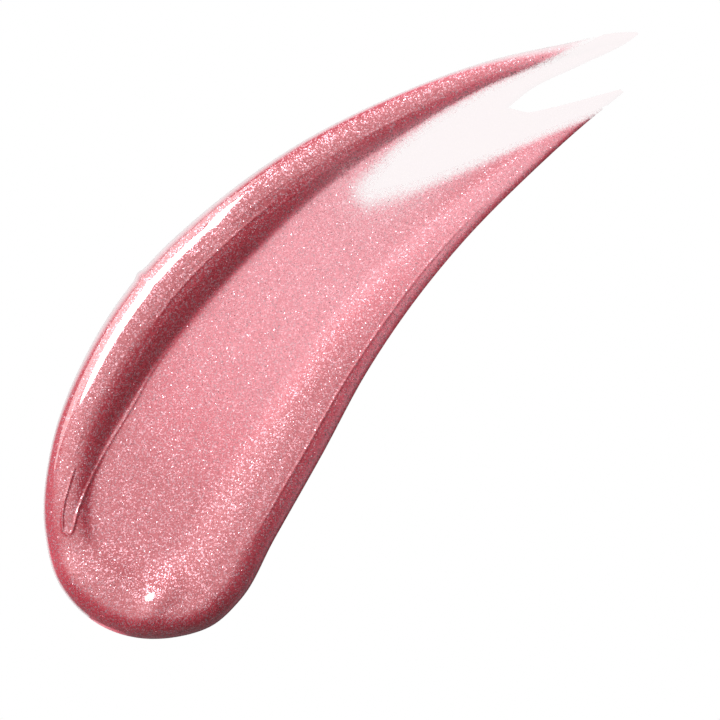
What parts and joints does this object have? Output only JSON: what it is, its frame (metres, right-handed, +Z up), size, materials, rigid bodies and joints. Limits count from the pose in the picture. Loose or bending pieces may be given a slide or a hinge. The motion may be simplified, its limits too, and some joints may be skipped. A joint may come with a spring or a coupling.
{
  "type": "lip gloss smear",
  "caption": "Smear of pearl lip gloss with a thick round head, a raised bead along each side, a shallow trough and a thin forked tail.",
  "frame": {"origin": "middle of the smear's footprint, on the surface it lies on", "axes": "+X along the smear from its round head to its tail tips, +Y toward the side with the taller bead, +Z up"},
  "size_m": [0.0499, 0.0176, 0.0014],
  "materials": {
    "pearl_gloss": "wet, high gloss rose pink with fine silver pearl flakes; deeper rose where it is thick, pale where it is thin",
    "clear_film": "wet, nearly clear film with a faint pink tint"
  },
  "bodies": {
    "root": {"gloss_body": "pearl_gloss", "tail_film": "clear_film"}
  },
  "joints": []
}
